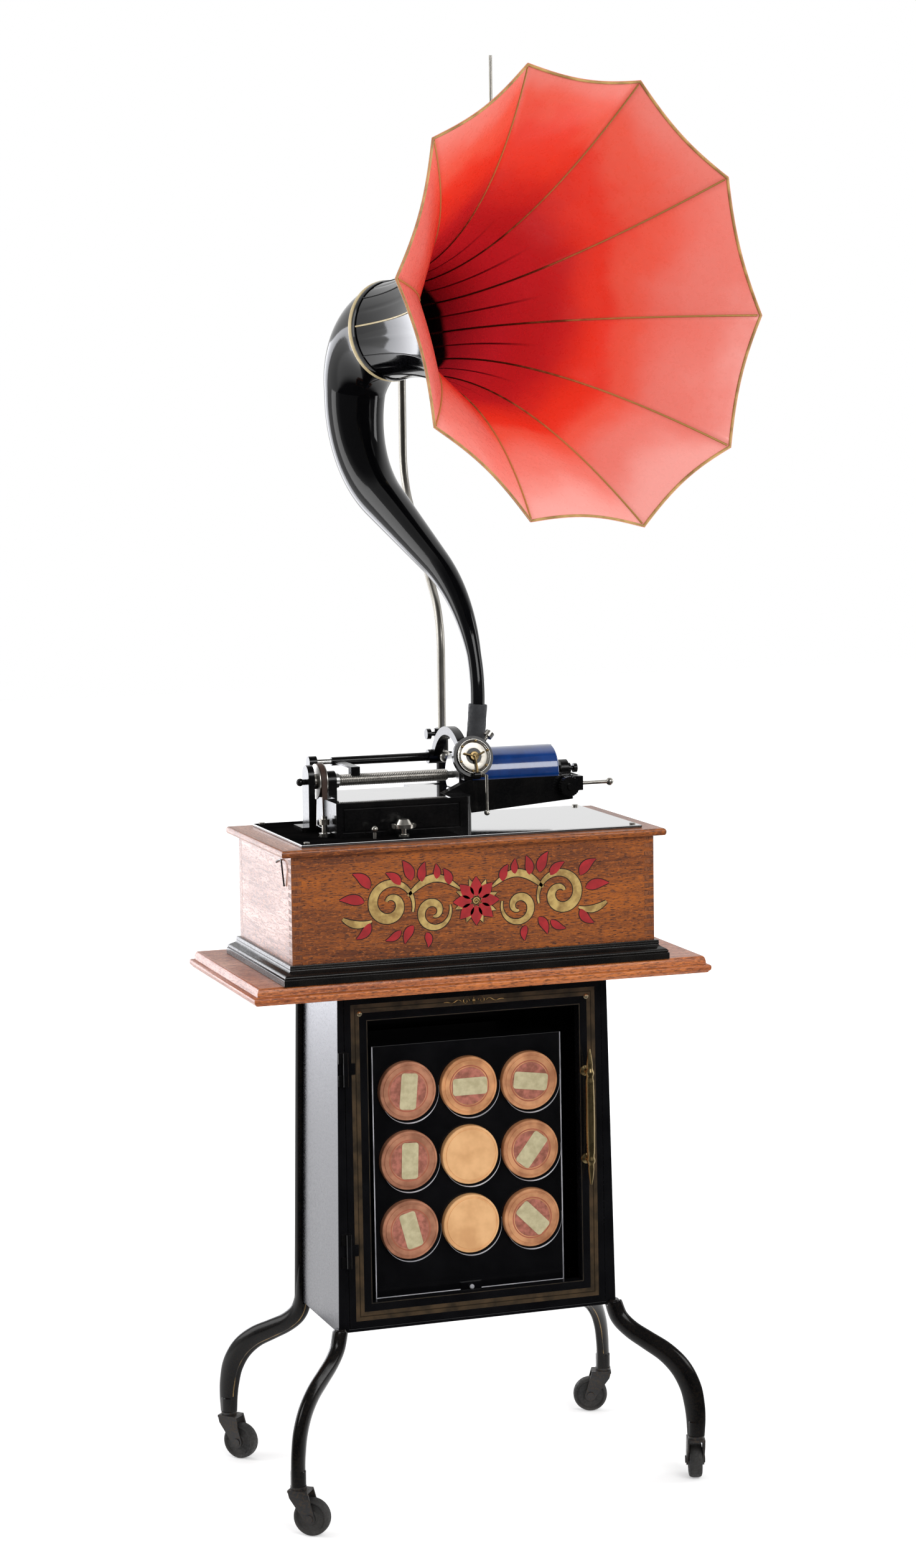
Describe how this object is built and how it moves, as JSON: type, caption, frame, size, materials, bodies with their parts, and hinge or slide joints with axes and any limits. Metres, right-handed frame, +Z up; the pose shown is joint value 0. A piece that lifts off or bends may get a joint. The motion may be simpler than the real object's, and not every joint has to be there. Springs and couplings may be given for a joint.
{
  "type": "cylinder phonograph on record cabinet",
  "caption": "Oak-cased talking machine with a tall swan-neck horn of bowed panels, playing a blue cylinder, on a black steel record cabinet with curved legs and casters.",
  "frame": {"origin": "on the floor, under the middle of the whole object", "axes": "+Z up, +Y towards the back, +X to the right as one faces the cabinet's door"},
  "size_m": [0.6045, 0.5103, 1.5412],
  "materials": {
    "black_steel": "gloss",
    "bronze": "satin",
    "cardboard": "matt",
    "caster_steel": "satin",
    "caster_rubber": "matt",
    "oak": "varnished",
    "ebonised_wood": "gloss",
    "black_iron": "gloss enamel",
    "nickel": "polished",
    "steel": "satin",
    "brass": "satin",
    "blue_record": "gloss",
    "leather": "matt",
    "red_horn": "gloss",
    "black_horn": "gloss",
    "rubber": "matt"
  },
  "bodies": {
    "stand": {"cabinet_shell": "black_steel", "door_hinges": "bronze", "record_rack": "black_steel", "leg_front_left": "black_steel", "leg_front_right": "black_steel", "leg_back_left": "black_steel", "leg_back_right": "black_steel", "table_board": "oak", "case_front": "oak", "case_back": "oak", "case_left": "oak", "case_right": "oak", "base_moulding": "ebonised_wood", "deck_board": "oak", "bedplate": "black_iron", "bedplate_screws": "nickel", "shaft_pedestal": "black_iron", "body_casting": "black_iron", "guide_rod": "nickel", "motor_frame": "steel", "drive_belt": "leather", "crane_bracket": "black_iron", "crane_rod": "nickel", "horn_hanger": "nickel"},
    "door": {"door_frame": "black_steel", "door_handle": "bronze"},
    "rotor": {"feed_shaft": "steel", "shaft_pulley": "brass", "mandrel": "steel", "record_cylinder": "blue_record"},
    "carriage": {"carriage_arm": "black_iron", "sound_box": "nickel"},
    "lift_lever": {"lift_lever": "nickel"},
    "end_gate": {"end_gate": "black_iron"},
    "speed_screw": {"speed_screw": "nickel"},
    "brake_knob": {"brake_knob": "nickel"},
    "spring_barrel": {"spring_barrel": "brass"},
    "second_shaft": {"second_shaft": "steel"},
    "governor": {"governor": "brass"},
    "winding_shaft": {"winding_shaft": "steel"},
    "horn": {"horn_bell": "red_horn", "horn_elbow": "black_horn", "horn_cuff": "rubber"},
    "carton_1": {"carton_1": "cardboard"},
    "carton_2": {"carton_2": "cardboard"},
    "carton_3": {"carton_3": "cardboard"},
    "carton_4": {"carton_4": "cardboard"},
    "carton_5": {"carton_5": "cardboard"},
    "carton_6": {"carton_6": "cardboard"},
    "carton_7": {"carton_7": "cardboard"},
    "carton_8": {"carton_8": "cardboard"},
    "carton_9": {"carton_9": "cardboard"},
    "caster_front_left": {"caster_fork_front_left": "caster_steel"},
    "wheel_front_left": {"caster_wheel_front_left": "caster_rubber"},
    "caster_front_right": {"caster_fork_front_right": "caster_steel"},
    "wheel_front_right": {"caster_wheel_front_right": "caster_rubber"},
    "caster_back_left": {"caster_fork_back_left": "caster_steel"},
    "wheel_back_left": {"caster_wheel_back_left": "caster_rubber"},
    "caster_back_right": {"caster_fork_back_right": "caster_steel"},
    "wheel_back_right": {"caster_wheel_back_right": "caster_rubber"}
  },
  "joints": [
    {"name": "door_hinge", "type": "hinge", "parent": "stand", "child": "door", "pos_m": [-0.19065, -0.11604, 0.27604], "axis": [0, -0.0151, -0.9999], "range_deg": [0, 105]},
    {"name": "carton_1_slide", "type": "slide", "parent": "stand", "child": "carton_1", "axis": [0, -0.9999, 0.0151], "range_m": [0, 0.095]},
    {"name": "carton_2_slide", "type": "slide", "parent": "stand", "child": "carton_2", "axis": [0, -0.9999, 0.0151], "range_m": [0, 0.095]},
    {"name": "carton_3_slide", "type": "slide", "parent": "stand", "child": "carton_3", "axis": [0, -0.9999, 0.0151], "range_m": [0, 0.095]},
    {"name": "carton_4_slide", "type": "slide", "parent": "stand", "child": "carton_4", "axis": [0, -0.9999, 0.0151], "range_m": [0, 0.095]},
    {"name": "carton_5_slide", "type": "slide", "parent": "stand", "child": "carton_5", "axis": [0, -0.9999, 0.0151], "range_m": [0, 0.095]},
    {"name": "carton_6_slide", "type": "slide", "parent": "stand", "child": "carton_6", "axis": [0, -0.9999, 0.0151], "range_m": [0, 0.095]},
    {"name": "carton_7_slide", "type": "slide", "parent": "stand", "child": "carton_7", "axis": [0, -0.9999, 0.0151], "range_m": [0, 0.095]},
    {"name": "carton_8_slide", "type": "slide", "parent": "stand", "child": "carton_8", "axis": [0, -0.9999, 0.0151], "range_m": [0, 0.095]},
    {"name": "carton_9_slide", "type": "slide", "parent": "stand", "child": "carton_9", "axis": [0, -0.9999, 0.0151], "range_m": [0, 0.095]},
    {"name": "swivel_front_left", "type": "hinge", "parent": "stand", "child": "caster_front_left", "pos_m": [-0.269, -0.178, 0.051], "axis": [0, 0, 1], "continuous": true},
    {"name": "roll_front_left", "type": "hinge", "parent": "caster_front_left", "child": "wheel_front_left", "pos_m": [-0.25718, -0.18724, 0.0195], "axis": [0.6157, 0.788, 0], "continuous": true},
    {"name": "swivel_front_right", "type": "hinge", "parent": "stand", "child": "caster_front_right", "pos_m": [0.179, -0.178, 0.051], "axis": [0, 0, 1], "continuous": true},
    {"name": "roll_front_right", "type": "hinge", "parent": "caster_front_right", "child": "wheel_front_right", "pos_m": [0.18388, -0.16382, 0.0195], "axis": [-0.9455, 0.3256, 0], "continuous": true},
    {"name": "swivel_back_left", "type": "hinge", "parent": "stand", "child": "caster_back_left", "pos_m": [-0.269, 0.092, 0.051], "axis": [0, 0, 1], "continuous": true},
    {"name": "roll_back_left", "type": "hinge", "parent": "caster_back_left", "child": "wheel_back_left", "pos_m": [-0.25877, 0.08103, 0.0195], "axis": [0.7314, 0.682, 0], "continuous": true},
    {"name": "swivel_back_right", "type": "hinge", "parent": "stand", "child": "caster_back_right", "pos_m": [0.179, 0.092, 0.051], "axis": [0, 0, 1], "continuous": true},
    {"name": "roll_back_right", "type": "hinge", "parent": "caster_back_right", "child": "wheel_back_right", "pos_m": [0.16482, 0.09688, 0.0195], "axis": [-0.3256, -0.9455, 0], "continuous": true},
    {"name": "barrel_spin", "type": "hinge", "parent": "stand", "child": "spring_barrel", "pos_m": [-0.105, -0.031, 0.618], "axis": [1, 0, 0], "continuous": true},
    {"name": "second_spin", "type": "hinge", "parent": "stand", "child": "second_shaft", "pos_m": [-0.105, -0.023, 0.66736], "axis": [1, 0, 0], "continuous": true},
    {"name": "governor_spin", "type": "hinge", "parent": "stand", "child": "governor", "pos_m": [-0.105, -0.05968, 0.67515], "axis": [1, 0, 0], "continuous": true},
    {"name": "mandrel_spin", "type": "hinge", "parent": "stand", "child": "rotor", "pos_m": [-0.045, -0.023, 0.764], "axis": [1, 0, 0], "continuous": true},
    {"name": "winding_spin", "type": "hinge", "parent": "stand", "child": "winding_shaft", "pos_m": [-0.045, -0.031, 0.618], "axis": [1, 0, 0], "continuous": true},
    {"name": "carriage_travel", "type": "slide", "parent": "stand", "child": "carriage", "axis": [1, 0, 0], "range_m": [0, 0.096]},
    {"name": "horn_tilt", "type": "hinge", "parent": "carriage", "child": "horn", "pos_m": [-0.0137, -0.038, 0.806], "axis": [0, 1, 0], "range_deg": [-10, 0]},
    {"name": "lift_lever_hinge", "type": "hinge", "parent": "carriage", "child": "lift_lever", "pos_m": [-0.025, -0.0735, 0.768], "axis": [1, 0, 0], "range_deg": [-65, 0]},
    {"name": "end_gate_hinge", "type": "hinge", "parent": "stand", "child": "end_gate", "pos_m": [0.0919, 0.017, 0.745], "axis": [0, 0, 1], "range_deg": [0, 95]},
    {"name": "speed_screw_turn", "type": "hinge", "parent": "stand", "child": "speed_screw", "pos_m": [-0.2, -0.081, 0.712], "axis": [0, 0, 1], "range_deg": [-180, 180]},
    {"name": "brake_turn", "type": "hinge", "parent": "stand", "child": "brake_knob", "pos_m": [-0.124, -0.117, 0.712], "axis": [0, 0, 1], "range_deg": [0, 60]}
  ],
  "couplings": [
    {"joint": "barrel_spin", "follows": "second_spin", "ratio": -0.25},
    {"joint": "governor_spin", "follows": "second_spin", "ratio": -4},
    {"joint": "mandrel_spin", "follows": "second_spin", "ratio": 1.4372},
    {"joint": "horn_tilt", "follows": "carriage_travel", "rad_per_m": -1.7753}
  ]
}
